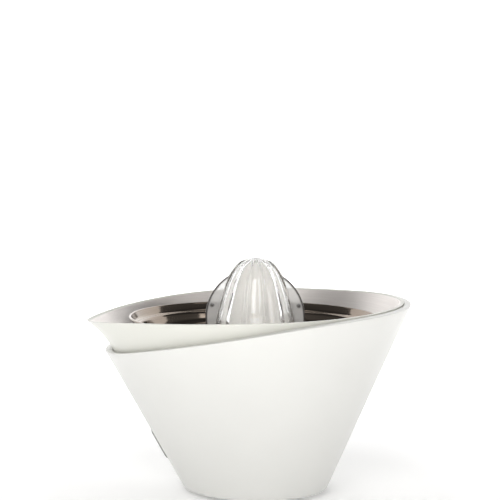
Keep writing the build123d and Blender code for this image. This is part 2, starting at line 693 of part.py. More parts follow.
os.makedirs("parts", exist_ok=True)
for name, make in NODES.items():
    export_step(make(), f"parts/{name}.step")
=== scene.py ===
import json
import math

import bmesh
import bpy
import numpy as np
from mathutils import Matrix, Vector


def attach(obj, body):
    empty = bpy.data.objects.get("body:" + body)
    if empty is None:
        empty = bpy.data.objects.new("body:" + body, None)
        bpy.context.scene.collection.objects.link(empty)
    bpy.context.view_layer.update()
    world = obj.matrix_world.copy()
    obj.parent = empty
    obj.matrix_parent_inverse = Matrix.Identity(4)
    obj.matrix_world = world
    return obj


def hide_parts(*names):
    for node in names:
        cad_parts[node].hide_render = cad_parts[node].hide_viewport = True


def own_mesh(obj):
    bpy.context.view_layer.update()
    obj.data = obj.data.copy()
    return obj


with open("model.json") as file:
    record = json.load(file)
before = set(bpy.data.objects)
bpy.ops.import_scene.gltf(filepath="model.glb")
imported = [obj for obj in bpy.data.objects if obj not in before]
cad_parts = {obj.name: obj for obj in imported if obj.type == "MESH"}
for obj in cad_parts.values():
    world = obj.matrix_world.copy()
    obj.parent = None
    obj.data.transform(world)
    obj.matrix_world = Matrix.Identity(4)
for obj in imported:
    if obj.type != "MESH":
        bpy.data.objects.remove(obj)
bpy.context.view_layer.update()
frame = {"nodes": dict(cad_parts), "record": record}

# Everything is in metres, in the frame of the CAD model: the drive shaft's axis is Z, the table is z = 0,
# the beak points along -X and the mains lead enters at +Y.
MM = 0.001
TAU = 2 * math.pi

# ---- sizes of the object, most of them the CAD model's -------------------------------------------
BASE_BOTTOM = 3.0 * MM
BASE_TOP = 5.5 * MM
SHELL_WALL = 3.1 * MM
BODY_LIP_EDGE = 1.0 * MM
BODY_FOOT_EDGE = 0.7 * MM
RIM_SHELF_GAP = 0.4 * MM      # between the shelf inside the body's rim and the jug
RIM_SHELF_DEPTH = 4.0 * MM
RIM_SHELF_MOST = 9.0 * MM     # how far in the shelf may reach
BODY_RADIUS_AT_TABLE = 50.0 * MM
BODY_FLARE = 0.504
BODY_CENTRE_AT_TABLE = 1.76 * MM
BODY_LEAN = -0.0724
BODY_RIM = [(-170, 96.0), (-130, 98.6), (-107, 101.5), (-86, 107.5), (-62, 113.6), (-31, 120.0), (0, 125.7),
            (29, 130.4), (59, 133.7), (92, 135.9), (130, 137), (170, 138)]
DECK_BOTTOM = 64.0 * MM
PILLAR_CIRCLE = 42.5 * MM
PILLAR_TOP = 20.0 * MM
LUG_CIRCLE = 70.0 * MM
LUG_BOTTOM = 57.0 * MM
BOSS_RADIUS = 4.5 * MM
SCREW_HOLE = 1.5 * MM

JUG_SECTIONS = [(68, -3.2, 76.5), (101, -5.6, 94.7), (125, -2.1, 103.1), (145, 0.9, 106.9)]
JUG_RIM = [(-170, 108), (-120, 121.5), (-90, 126.9), (-60, 130.1), (0, 133.5), (60, 135.3), (104, 137.6),
           (170, 141)]
JUG_FLOOR = 68.0 * MM
JUG_WALL = 2.4 * MM
JUG_LIP_EDGE = 0.5 * MM
JUG_FOOT_EDGE = 6.0 * MM      # radius of the corner between the wall and the floor, outside
JUG_FLOOR_EDGE = 5.0 * MM     # and inside
LINER_WALL = 0.8 * MM
LINER_GAP = 0.05 * MM
LINER_BELOW_RIM = 0.7 * MM
BEAK_FOOT = 100.0 * MM
BEAK_START_X = -100.9 * MM
BEAK_SLOPE = 0.381
BEAK_FLARE = 0.027 / MM
BEAK_HALF_WIDTH = math.radians(46)
BEAK_POINT = 1.5              # above 1, the beak's sides are hollow
BEAK_SOFTENING = 0.0004       # rounds the beak's very tip
BEAK_RUN_IN = 6.0 * MM        # height over which the beak grows out of the wall
CHIMNEY_WIDE = 18.0 * MM
CHIMNEY_SLIM = 13.0 * MM
CHIMNEY_TAPER_LOW = 78.0 * MM
CHIMNEY_TAPER_HIGH = 90.0 * MM
CHIMNEY_TOP = 100.0 * MM
CHIMNEY_BORE = [(15.5, 68), (15.5, 77), (9, 88), (9, 100)]

STRAINER_LINE = [(88.0, 124.4), (86.2, 119.8), (83.2, 118.6), (81.4, 112.5), (78.5, 109.6), (22.0, 106.2),
                 (13.5, 106.0)]
STRAINER_RADIUS = 90.0 * MM
STRAINER_TOP = 125.25 * MM
STRAINER_BEAD = 1.0 * MM
STRAINER_SHEET = 0.8 * MM
STRAINER_CORNER = 2.2 * MM
SLOT_ROWS = [(32.0, 9.0, 20), (45.0, 9.0, 24), (58.0, 9.0, 30), (70.5, 8.0, 40)]    # radius, length, how many
SLOT_WIDTH = 1.5

SPRING_RADIUS = 5.4 * MM
SPRING_WIRE = 1.2 * MM
SPRING_SEAT = 16.0 * MM
SPRING_TOP = 32.0 * MM
SPRING_TURNS = 5

CORE_LINE = [(25.4, 112.5), (24.9, 121.0), (22.3, 133.0), (18.4, 146.0), (13.2, 156.5), (7.0, 162.5),
             (0.0, 164.6)]
CORE_HOLLOW = 5.72 * MM       # from the ridges' crests in to the hollow
CORE_ROOF = 0.88 * MM
LEAST_RADIUS = 0.3 * MM
COVER_GAP = 0.35 * MM
COVER_WALL = 1.8 * MM
WING_RADIUS = 35.6 * MM
WING_CENTRE_Z = 124.0 * MM
WING_THICKNESS = 2.6 * MM
WING_EDGE_TOP = 152.0 * MM    # the painted shade along the wings' edges fades out above this height
RIDGE_HEIGHT = 2.0 * MM
PIP_X = 30.8 * MM
PIP_Z = 133.0 * MM
PIP_RADIUS = 1.8 * MM
PIP_THICKNESS = 3.6 * MM
STEM_OUTLINE = [(4.71, 101), (7.5, 101), (7.5, 150), (0.3, 150), (0.3, 114.1), (4.71, 114.1)]
STEM_SIDES = 6
FLUTES = 12
PLEAT_DEPTH = 0.28            # part of the core's radius
LEAF_HEIGHT = 26 * MM         # the pleats narrow to a point below this height above the core's foot

AROUND = 256                  # points round the big shells
BEAK_CROWDING = 0.62          # how much closer together they are at the beak
STRAINER_AROUND = 480
REAMER_AROUND = 288

# ---- studio sizes --------------------------------------------------------------------------------
FLOOR_REACH = 18.0            # the floor ends this far out at the front and the sides
BACKDROP_AT = 2.2
BACKDROP_HEIGHT = 2.6
BACKDROP_BEND = 0.9
LIGHT_AIM = (0, 0, 0.12)
CAMERA_TARGET = (-4.27 * MM, 0, 172.4 * MM)
CAMERA_DISTANCE = 1.300
CAMERA_ELEVATION = math.radians(5.33)
CAMERA_ROLL = math.radians(0.66)
CAMERA_LENS = 131.8
CAMERA_SENSOR = 36.0


# ---- curves --------------------------------------------------------------------------------------
def smooth_curve(points):
    """A natural cubic spline through (x, y) points, as a function of x. It goes on straight past the ends."""
    x = np.array([p[0] for p in points], float)
    y = np.array([p[1] for p in points], float)
    n = len(x)
    step = np.diff(x)
    matrix = np.eye(n)
    right = np.zeros(n)
    for i in range(1, n - 1):
        matrix[i, i - 1:i + 2] = step[i - 1], 2 * (step[i - 1] + step[i]), step[i]
        right[i] = 6 * ((y[i + 1] - y[i]) / step[i] - (y[i] - y[i - 1]) / step[i - 1])
    bend = np.linalg.solve(matrix, right)

    def value(at):
        at = np.asarray(at, float)
        i = np.clip(np.searchsorted(x, at) - 1, 0, n - 2)
        h = step[i]
        a = (x[i + 1] - at) / h
        b = (at - x[i]) / h
        inside = np.where((a < 0) | (b < 0), 0.0, 1.0)
        curved = ((a**3 - a) * bend[i] + (b**3 - b) * bend[i + 1]) * h**2 / 6
        return a * y[i] + b * y[i + 1] + inside * curved

    return value


def in_metres(points):
    return [(a * MM, b * MM) for a, b in points]


body_rim_height = smooth_curve(in_metres(BODY_RIM))
jug_rim_height = smooth_curve(in_metres(JUG_RIM))
jug_centre = smooth_curve([(z * MM, c * MM) for z, c, r in JUG_SECTIONS])
jug_radius = smooth_curve([(z * MM, r * MM) for z, c, r in JUG_SECTIONS])


def dense(points, steps):
    """The points of a smooth curve through an outline of (r, z) points, evenly spread by chord length."""
    points = np.array(points, float)
    chord = np.concatenate([[0], np.cumsum(np.hypot(*np.diff(points, axis=0).T))])
    along = np.linspace(0, chord[-1], steps * (len(points) - 1) + 1)
    r = smooth_curve(list(zip(chord, points[:, 0])))(along)
    z = smooth_curve(list(zip(chord, points[:, 1])))(along)
    return np.stack([r, z], 1)


def rounded(points, radius, steps):
    """An open outline of (r, z) points with its inner corners rounded."""
    points = [np.array(p, float) for p in points]
    made = [points[0]]
    for before, corner, after in zip(points, points[1:], points[2:]):
        back = before - corner
        on = after - corner
        reach = min(radius, 0.45 * np.linalg.norm(back), 0.45 * np.linalg.norm(on))
        start = corner + back / np.linalg.norm(back) * reach
        end = corner + on / np.linalg.norm(on) * reach
        for t in np.linspace(0, 1, steps):
            made.append((1 - t)**2 * start + 2 * t * (1 - t) * corner + t**2 * end)
    made.append(points[-1])
    return made


# ---- mesh helpers --------------------------------------------------------------------------------
def new_object(name, vertices, faces, sharp_angle=40):
    """A mesh object with smooth shading, except along edges that turn by more than the angle."""
    mesh = bpy.data.meshes.new(name)
    mesh.from_pydata([tuple(v) for v in vertices], [], faces)
    mesh.validate()
    shape = bmesh.new()
    shape.from_mesh(mesh)
    bmesh.ops.recalc_face_normals(shape, faces=shape.faces)
    shape.to_mesh(mesh)
    shape.free()
    mesh.shade_smooth()
    mesh.set_sharp_from_angle(angle=math.radians(sharp_angle))
    piece = bpy.data.objects.new(name, mesh)
    bpy.context.scene.collection.objects.link(piece)
    return piece


def ring_faces(rings, around, closed):
    """Quads between rings of points, each closed on itself. With closed, the last ring meets the first."""
    faces = []
    for i in range(rings if closed else rings - 1):
        a = i * around
        b = (i + 1) % rings * around
        for j in range(around):
            k = (j + 1) % around
            faces.append((a + j, a + k, b + k, b + j))
    return faces


def from_rings(name, rings, closed=True, sharp_angle=40):
    """A surface through rings of points: closed, a solid with a hole through it, or one with two ends."""
    around = len(rings[0])
    vertices = np.concatenate(rings)
    faces = ring_faces(len(rings), around, closed)
    if not closed:
        faces.append(tuple(range(around))[::-1])
        last = (len(rings) - 1) * around
        faces.append(tuple(last + j for j in range(around)))
    return new_object(name, vertices, faces, sharp_angle)


def turned(name, outline, around, centre=(0.0, 0.0)):
    """A solid of revolution from a closed outline of (r, z) points that stays off the axis."""
    angles = np.arange(around) * TAU / around
    rings = []
    for r, z in outline:
        x = centre[0] + r * np.cos(angles)
        y = centre[1] + r * np.sin(angles)
        rings.append(np.stack([x, y, np.full(around, z)], 1))
    return from_rings(name, rings)


def flat_ring(radii, angles, z):
    """A level ring of points at given radii and angles round the drive axis."""
    return np.stack([radii * np.cos(angles), radii * np.sin(angles), np.full(len(angles), z)], 1)


def join(name, parts):
    """One object from several closed meshes."""
    vertices = []
    faces = []
    for part in parts:
        start = len(vertices)
        vertices += [tuple(v.co) for v in part.data.vertices]
        faces += [tuple(start + i for i in p.vertices) for p in part.data.polygons]
        bpy.data.objects.remove(part)
    return new_object(name, vertices, faces)


def stands_for(piece, body, slot, node):
    """Declares a finished piece: the body it rides on, its material slot and the CAD node it replaces."""
    piece.data.materials.append(materials[slot])
    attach(piece, body)
    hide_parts(node)


# ---- material helpers ----------------------------------------------------------------------------
class Nodes:
    """A small helper that builds a material's node tree."""

    def __init__(self, name):
        self.material = bpy.data.materials.new(name)
        self.material.use_nodes = True
        self.tree = self.material.node_tree
        self.shader = self.tree.nodes["Principled BSDF"]

    def add(self, kind, **settings):
        node = self.tree.nodes.new(kind)
        for key, value in settings.items():
            if hasattr(node, key):
                setattr(node, key, value)
            else:
                node.inputs[key.replace("_", " ")].default_value = value
        return node

    def link(self, source, target):
        self.tree.links.new(source, target)

    def set(self, **values):
        for key, value in values.items():
            self.shader.inputs[key.replace("_", " ")].default_value = value

    def coordinates(self):
        return self.add("ShaderNodeTexCoord").outputs["Object"]

    def split(self, vector):
        node = self.add("ShaderNodeSeparateXYZ")
        self.link(vector, node.inputs["Vector"])
        return node.outputs

    def math(self, operation, a, b=None):
        node = self.add("ShaderNodeMath", operation=operation)
        for i, value in enumerate((a, b)):
            if value is None:
                continue
            if isinstance(value, (int, float)):
                node.inputs[i].default_value = value
            else:
                self.link(value, node.inputs[i])
        return node.outputs[0]

    def length(self, a, b):
        """The length of a flat vector from its two parts."""
        return self.math("SQRT", self.math("ADD", self.math("MULTIPLY", a, a), self.math("MULTIPLY", b, b)))

    def noise(self, scale, detail, vector=None):
        node = self.add("ShaderNodeTexNoise", Scale=scale, Detail=detail)
        self.link(vector or self.coordinates(), node.inputs["Vector"])
        return node.outputs["Fac"]

    def ramp(self, factor, low, high, start=0.0, end=1.0):
        """A colour that goes from low to high as the factor goes from start to end."""
        node = self.add("ShaderNodeMapRange", data_type="FLOAT_VECTOR", clamp=True)
        self.link(factor, node.inputs["Vector"])
        first = 7                # the node's inputs from here are its vector ones: from, to, low, high
        for index, value in enumerate(((start,) * 3, (end,) * 3, low, high)):
            node.inputs[first + index].default_value = value
        return node.outputs["Vector"]

    def grey(self, factor, low, high, start, end):
        """A number that goes from low to high as the factor goes from start to end."""
        node = self.add("ShaderNodeMapRange", clamp=True)
        self.link(factor, node.inputs["Value"])
        for key, value in zip(("From Min", "From Max", "To Min", "To Max"), (start, end, low, high)):
            node.inputs[key].default_value = value
        return node.outputs["Result"]

    def bump(self, height, strength, distance):
        node = self.add("ShaderNodeBump", Strength=strength, Distance=distance)
        self.link(height, node.inputs["Height"])
        self.link(node.outputs["Normal"], self.shader.inputs["Normal"])

    def turned_coordinates(self, along, across):
        """Coordinates that stretch a texture round the Z axis: along per radian, across per metre."""
        x, y, z = self.split(self.coordinates())
        angle = self.math("ARCTAN2", y, x)
        radius = self.length(x, y)
        joined = self.add("ShaderNodeCombineXYZ")
        self.link(self.math("MULTIPLY", angle, along), joined.inputs["X"])
        self.link(self.math("MULTIPLY", radius, across), joined.inputs["Y"])
        self.link(self.math("MULTIPLY", z, across), joined.inputs["Z"])
        return joined.outputs["Vector"]


def moulded_plastic(name, dark, light, roughness, bump, grain=900):
    """Moulded plastic: a faint cloudiness in its colour and the mould's fine unevenness in its gloss."""
    n = Nodes(name)
    n.link(n.ramp(n.noise(14, 3), dark, light, 0.3, 0.7), n.shader.inputs["Base Color"])
    n.link(n.grey(n.noise(60, 4), roughness * 0.85, roughness * 1.2, 0.3, 0.7), n.shader.inputs["Roughness"])
    n.bump(n.noise(grain, 2), bump, 0.0002)
    n.set(Specular_IOR_Level=0.32)
    return n.material


def turned_steel(name, dark, light, rough_low, rough_high, bump, metallic):
    """Steel with fine brush lines round the axis."""
    n = Nodes(name)
    lines = n.noise(1.0, 3, n.turned_coordinates(1.2, 5200))
    broad = n.noise(1.0, 2, n.turned_coordinates(0.8, 260))
    both = n.math("ADD", n.math("MULTIPLY", lines, 0.65), n.math("MULTIPLY", broad, 0.35))
    n.link(n.ramp(both, dark, light, 0.35, 0.65), n.shader.inputs["Base Color"])
    n.link(n.grey(lines, rough_low, rough_high, 0.3, 0.7), n.shader.inputs["Roughness"])
    n.bump(lines, bump, 0.0001)
    n.set(Metallic=metallic)
    return n.material


def plain_metal(name, dark, light, roughness, grain=700):
    """Machined or plated metal with a little cloudiness."""
    n = Nodes(name)
    n.link(n.ramp(n.noise(40, 3), dark, light, 0.3, 0.7), n.shader.inputs["Base Color"])
    uneven = n.grey(n.noise(grain, 3), roughness * 0.7, roughness * 1.4, 0.3, 0.7)
    n.link(uneven, n.shader.inputs["Roughness"])
    n.bump(n.noise(grain, 2), 0.06, 0.0002)
    n.set(Metallic=1.0)
    return n.material


def pearl_plastic():
    """The bright white plastic under the clear cover. Its faint glow is painted light, brightening it as if
    more of the lamps' light reached it through the cover.
    """
    material = moulded_plastic("pearl_plastic", (0.86, 0.85, 0.82), (0.91, 0.90, 0.87), 0.36, 0.03)
    shader = material.node_tree.nodes["Principled BSDF"]
    # painted light: this emission brightens the core in place of the light that the clear cover keeps from it
    shader.inputs["Emission Color"].default_value = (1.0, 0.98, 0.945, 1)
    shader.inputs["Emission Strength"].default_value = 0.22
    return material


def clear_plastic():
    """Polished clear plastic, a little wavy. The wings are slightly milky, with painted shade darkening their
    edges and the pips.
    """
    n = Nodes("clear_plastic")
    x, y, z = n.split(n.coordinates())
    from_centre = n.length(x, n.math("SUBTRACT", z, WING_CENTRE_Z))
    # painted shade: a dark band near each wing's rim, where clear plastic seen edge-on looks dark
    edge = n.grey(from_centre, 0.0, 1.0, WING_RADIUS - 1.9 * MM, WING_RADIUS - 0.8 * MM)
    on_wing = n.grey(z, 1.0, 0.0, WING_EDGE_TOP, WING_EDGE_TOP + 3 * MM)
    beside_pip = n.math("SUBTRACT", n.math("ABSOLUTE", x), PIP_X)
    from_pip = n.length(beside_pip, n.math("SUBTRACT", z, PIP_Z))
    # painted shade: a dark spot over each pip, where the clear pip looks dark
    pip_painted_shade = n.grey(from_pip, 0.75, 0.0, PIP_RADIUS / 2, PIP_RADIUS + 0.3 * MM)
    dark = n.math("MAXIMUM", n.math("MULTIPLY", edge, on_wing), pip_painted_shade)
    colour = n.ramp(dark, (0.965, 0.963, 0.955), (0.14, 0.125, 0.12))
    n.link(colour, n.shader.inputs["Base Color"])
    n.link(n.grey(n.noise(80, 3), 0.02, 0.06, 0.3, 0.7), n.shader.inputs["Roughness"])
    n.bump(n.noise(55, 2), 0.05, 0.0006)
    milky = n.grey(n.math("ABSOLUTE", y), 0.56, 0.97, 1.6 * MM, 3.0 * MM)
    n.link(milky, n.shader.inputs["Transmission Weight"])
    n.set(IOR=1.46)
    return n.material


PLASTICS = {              # two colours, roughness, bump and, where it isn't the usual one, the grain
    "white_gloss": ((0.70, 0.70, 0.675), (0.72, 0.72, 0.695), 0.35, 0.03),
    "white_enamel": ((0.685, 0.685, 0.635), (0.705, 0.705, 0.655), 0.35, 0.03),
    "grey_plastic": ((0.36, 0.36, 0.355), (0.42, 0.42, 0.41), 0.5, 0.12, 1500),
    "deck_plastic": ((0.66, 0.66, 0.63), (0.71, 0.71, 0.68), 0.5, 0.14, 1500),
    "black_plastic": ((0.02, 0.02, 0.02), (0.035, 0.035, 0.035), 0.45, 0.12, 1500),
    "black_rubber": ((0.015, 0.015, 0.015), (0.03, 0.03, 0.029), 0.75, 0.3, 2600),
    "acetal": ((0.72, 0.71, 0.65), (0.78, 0.77, 0.71), 0.38, 0.05),
}
TURNED_STEELS = {         # two colours, least and most roughness, bump and metallic
    "satin_steel": ((0.78, 0.745, 0.72), (0.90, 0.865, 0.84), 0.44, 0.56, 0.15, 0.88),
    # polished_steel's dark brown colours are a painted reflection of a dark surround, far darker than bare
    # steel
    "polished_steel": ((0.20, 0.165, 0.135), (0.26, 0.22, 0.185), 0.06, 0.14, 0.04, 1.0),
}
PLAIN_METALS = {          # two colours, roughness and, where it isn't the usual one, the grain
    "plate_steel": ((0.15, 0.15, 0.145), (0.22, 0.22, 0.21), 0.35),
    "shaft_steel": ((0.50, 0.50, 0.49), (0.60, 0.60, 0.59), 0.22),
    "zinc_steel": ((0.60, 0.60, 0.60), (0.70, 0.70, 0.69), 0.18),
    "motor_steel": ((0.36, 0.36, 0.36), (0.46, 0.46, 0.45), 0.4),
    "sintered_bronze": ((0.36, 0.25, 0.13), (0.46, 0.33, 0.18), 0.5, 2600),
}


def make_materials():
    made = {slot: moulded_plastic(slot, *values) for slot, values in PLASTICS.items()}
    made.update({slot: turned_steel(slot, *values) for slot, values in TURNED_STEELS.items()})
    made.update({slot: plain_metal(slot, *values) for slot, values in PLAIN_METALS.items()})
    made["pearl_plastic"] = pearl_plastic()
    made["clear_plastic"] = clear_plastic()
    return made


materials = make_materials()


def finish_cad_nodes():
    """Gives every CAD node the full material of its slot."""
    slots = {row["node"]: row["material_slot"] for row in frame["record"]["subparts"]}
    for node, piece in frame["nodes"].items():
        piece.data.materials.clear()
        piece.data.materials.append(materials[slots[node]])


# ---- body ----------------------------------------------------------------------------------------
def body_ring(z, inset):
    """A ring of the body's leaning cone. The height may differ round the ring."""
    angles = np.arange(AROUND) * TAU / AROUND
    z = np.broadcast_to(z, angles.shape)
    radius = BODY_RADIUS_AT_TABLE + BODY_FLARE * z - inset
    x = BODY_CENTRE_AT_TABLE + BODY_LEAN * z + radius * np.cos(angles)
    return np.stack([x, radius * np.sin(angles), z], 1)


def body_rim_ring():
    """The heights at which the wall meets the rim curve."""
    z = np.full(AROUND, 125 * MM)
    for _ in range(40):
        z = body_rim_height(body_ring(z, 0)[:, 0])
    return z


def lip(thickness, edge):
    """(inset, fall below the top) over a wall's top, from outside to inside, with both edges rounded.
    The thickness may differ round the wall."""
    turns = np.linspace(0, math.pi / 2, 5)
    outer = [(edge * (1 - math.cos(t)), edge * (1 - math.sin(t))) for t in turns]
    return outer + [(thickness - inset, fall) for inset, fall in outer[::-1]]


def rim_shelf(top):
    """How far in the body's rim reaches at each point round it, to close most of the gap to the jug."""
    rim = body_ring(top, 0)
    centre = jug_centre(top)
    outwards = np.hypot(rim[:, 0] - centre, rim[:, 1])
    return np.clip(outwards - jug_radius(top) - RIM_SHELF_GAP, SHELL_WALL, RIM_SHELF_MOST)


def make_body():
    top = body_rim_ring()
    rings = [body_ring(BASE_BOTTOM, BODY_FOOT_EDGE), body_ring(BASE_BOTTOM + 0.2 * MM, 0.2 * MM)]
    rings.append(body_ring(BASE_BOTTOM + BODY_FOOT_EDGE, 0))
    for part in np.linspace(0, 1, 26)[1:-1]:
        rings.append(body_ring(BASE_BOTTOM + (top - BODY_LIP_EDGE - BASE_BOTTOM) * part, 0))
    shelf = rim_shelf(top)
    for inset, fall in lip(shelf, BODY_LIP_EDGE):
        rings.append(body_ring(top - fall, inset))
    rings.append(body_ring(top - RIM_SHELF_DEPTH, shelf))
    rings.append(body_ring(top - RIM_SHELF_DEPTH - (shelf - SHELL_WALL), SHELL_WALL))
    under = top - 2 * RIM_SHELF_DEPTH - (shelf - SHELL_WALL)
    for part in np.linspace(1, 0, 26)[1:]:
        rings.append(body_ring(BASE_BOTTOM + (under - BASE_BOTTOM) * part, SHELL_WALL))
    shell = from_rings("body_shell_skin", rings, sharp_angle=50)
    piece = join("body_shell_full", [shell] + make_bosses())
    stands_for(piece, "housing", "white_gloss", "body_shell")


def make_bosses():
    """The screw pillars at the foot and the lugs under the deck."""
    bosses = []
    pillars = (PILLAR_CIRCLE, BASE_TOP, PILLAR_TOP, BASE_TOP)
    lugs = (LUG_CIRCLE, LUG_BOTTOM, DECK_BOTTOM, DECK_BOTTOM)
    for circle, bottom, top, level in (pillars, lugs):
        outline = [(SCREW_HOLE, bottom), (BOSS_RADIUS, bottom), (BOSS_RADIUS, top), (SCREW_HOLE, top)]
        for i in range(4):
            angle = TAU * (i + 0.5) / 4
            x = BODY_CENTRE_AT_TABLE + BODY_LEAN * level + circle * math.cos(angle)
            y = circle * math.sin(angle)
            bosses.append(turned("boss", outline, 32, (x, y)))
    return bosses


# ---- jug -----------------------------------------------------------------------------------------
def jug_angles():
    """Angles round the jug, closer together at the beak's point, which lies at half a turn."""
    t = np.arange(AROUND) / AROUND
    return TAU * t + BEAK_CROWDING * np.sin(TAU * t)


def beak_reach(z):
    """How far the beak stands out from the round wall at a height."""
    rise = np.maximum(z - BEAK_FOOT, 0)
    tip = BEAK_START_X - BEAK_SLOPE * rise - BEAK_FLARE * rise * rise
    wall = jug_centre(z) - jug_radius(z)
    return np.maximum(wall - tip, 0) * np.clip(rise / BEAK_RUN_IN, 0, 1)


def jug_ring(z, inset):
    """A ring of the jug's wall, with its beak. The height may differ round the ring."""
    angles = jug_angles()
    z = np.broadcast_to(z, angles.shape)
    off_beak = np.abs(angles - math.pi) / BEAK_HALF_WIDTH
    off_beak = np.sqrt(off_beak**2 + BEAK_SOFTENING)
    push = beak_reach(z) * np.clip(1 - off_beak, 0, 1)**BEAK_POINT
    radius = jug_radius(z) - inset
    x = jug_centre(z) + radius * np.cos(angles) - push
    return np.stack([x, radius * np.sin(angles), z], 1)


def jug_rim_ring():
    """The heights at which the wall meets the rim curve."""
    z = np.full(AROUND, 133 * MM)
    for _ in range(60):
        z = 0.5 * z + 0.5 * jug_rim_height(jug_ring(z, 0)[:, 0])
    return z


def towards_axis(outer, radius, part, z):
    """A ring part of the way from a wall ring to a circle round the drive axis, at one height."""
    angles = np.arctan2(outer[:, 1], outer[:, 0])
    inner = np.stack([radius * np.cos(angles), radius * np.sin(angles)], 1)
    flat = outer[:, :2] * (1 - part) + inner * part
    return np.column_stack([flat, np.full(len(flat), z)])


def floor_rings(level, inset, circle):
    """Rings of a flat floor from the wall's foot to a circle round the drive axis."""
    edge = jug_ring(level, inset)
    return [towards_axis(edge, circle, part, level) for part in np.linspace(0.06, 1, 10)]


def chimney_rings(growth, bottom, top):
    """Rings up the outside of the chimney."""
    wide = CHIMNEY_WIDE + growth
    slim = CHIMNEY_SLIM + growth
    outline = [(wide, bottom), (wide, CHIMNEY_TAPER_LOW), (slim, CHIMNEY_TAPER_HIGH), (slim, top)]
    guide = jug_ring(JUG_FLOOR, 0)
    return [towards_axis(guide, r, 1, z) for r, z in rounded(outline, 3 * MM, 5)]


def wall_rings(bottom, top, inset, corner):
    """Rings up a wall, with a rounded corner at its foot."""
    rings = []
    for turn in np.linspace(0, math.pi / 2, 6):
        up = corner * (1 - math.cos(turn))
        inwards = corner * (1 - math.sin(turn)) * 0.8
        rings.append(jug_ring(bottom + up, inset + inwards))
    foot = bottom + corner
    for part in np.linspace(0, 1, 22)[1:]:
        rings.append(jug_ring(foot + (top - foot) * part, inset))
    return rings


def make_jug():
    top = jug_rim_ring()
    wall_top = top - JUG_LIP_EDGE
    bore = in_metres(CHIMNEY_BORE)
    guide = jug_ring(JUG_FLOOR, 0)
    bore_rings = [towards_axis(guide, r, 1, z) for r, z in bore]
    inside_floor = JUG_FLOOR + JUG_WALL
    rings = floor_rings(JUG_FLOOR, JUG_FOOT_EDGE, bore[0][0])[::-1]
    rings += wall_rings(JUG_FLOOR, wall_top, 0, JUG_FOOT_EDGE)
    rings += [jug_ring(top - fall, inset) for inset, fall in lip(JUG_WALL, JUG_LIP_EDGE)]
    rings += wall_rings(inside_floor, wall_top, JUG_WALL, JUG_FLOOR_EDGE)[::-1]
    rings += floor_rings(inside_floor, JUG_WALL + JUG_FLOOR_EDGE, CHIMNEY_WIDE)
    rings += chimney_rings(0, inside_floor, CHIMNEY_TOP)
    rings += bore_rings[::-1]
    piece = from_rings("juice_jug_full", rings, sharp_angle=50)
    stands_for(piece, "jug", "white_enamel", "juice_jug")


def make_liner():
    top = jug_rim_ring() - LINER_BELOW_RIM
    outside = JUG_WALL + LINER_GAP
    inside = outside + LINER_WALL
    under = JUG_FLOOR + outside
    floor = under + LINER_WALL
    collar_top = CHIMNEY_TOP - 0.5 * MM
    rings = floor_rings(floor, inside + JUG_FLOOR_EDGE, CHIMNEY_WIDE + LINER_WALL + LINER_GAP)[::-1]
    rings += wall_rings(floor, top, inside, JUG_FLOOR_EDGE)
    rings += wall_rings(under, top, outside, JUG_FLOOR_EDGE)[::-1]
    rings += floor_rings(under, outside + JUG_FLOOR_EDGE, CHIMNEY_WIDE + LINER_GAP)
    rings += chimney_rings(LINER_GAP, under, collar_top)
    rings += chimney_rings(LINER_GAP + LINER_WALL, floor, collar_top)[::-1]
    piece = from_rings("jug_liner_full", rings, sharp_angle=50)
    stands_for(piece, "jug", "satin_steel", "jug_liner")


# ---- strainer ------------------------------------------------------------------------------------
def strainer_outline():
    """Radii and heights down the inside of the bowl, with extra ones at the ends of the rows of slots."""
    corners = rounded(in_metres(STRAINER_LINE), STRAINER_CORNER, 6)
    wall = [tuple(p) for p in corners]
    floor_outer, floor_inner = in_metres(STRAINER_LINE)[4:6]
    slope = (floor_outer[1] - floor_inner[1]) / (floor_outer[0] - floor_inner[0])
    marks = []
    for radius, length, _ in SLOT_ROWS:
        for part in (0.5, 0.25, 0, -0.25, -0.5):
            marks.append((radius + part * length) * MM)
    floor = [(r, floor_inner[1] + slope * (r - floor_inner[0])) for r in marks]
    return sorted(wall + floor, reverse=True)


def is_slot(radius, column):
    """Whether the floor is open at a radius and a column of the mesh."""
    for middle, length, count in SLOT_ROWS:
        if abs(radius - middle * MM) < length / 2 * MM:
            pitch = STRAINER_AROUND // count
            width = max(2, round(SLOT_WIDTH / (TAU * middle / STRAINER_AROUND)))
            return (column + width // 2) % pitch < width
    return False


def make_bowl():
    """The sheet of the bowl as two skins, joined round every slot and at both ends."""
    outline = strainer_outline()
    angles = np.arange(STRAINER_AROUND) * TAU / STRAINER_AROUND
    levels = len(outline)
    rings = []
    for side in (0, 1):
        for i, (r, z) in enumerate(outline):
            before = outline[max(i - 1, 0)]
            after = outline[min(i + 1, levels - 1)]
            run = before[0] - after[0]
            fall = before[1] - after[1]
            offset = side * STRAINER_SHEET / math.hypot(run, fall)
            rings.append(flat_ring(r + offset * fall, angles, z - offset * run))
    n = STRAINER_AROUND
    under = levels * n
    open_cells = {(i, j) for i in range(levels - 1) for j in range(n)
                  if is_slot((outline[i][0] + outline[i + 1][0]) / 2, j)}
    faces = []
    for i in range(levels - 1):
        for j in range(n):
            if (i, j) in open_cells:
                continue
            k = (j + 1) % n
            a, b, c, d = i * n + j, i * n + k, (i + 1) * n + k, (i + 1) * n + j
            faces += [(a, b, c, d), (under + d, under + c, under + b, under + a)]
            sides = [((i - 1, j), a, b), ((i, k), b, c), ((i + 1, j), c, d), ((i, (j - 1) % n), d, a)]
            for cell, p, q in sides:
                at_an_end = cell[0] < 0 or cell[0] > levels - 2
                if at_an_end or cell in open_cells:
                    faces.append((q, p, under + p, under + q))
    return new_object("bowl", np.concatenate(rings), faces, 50)


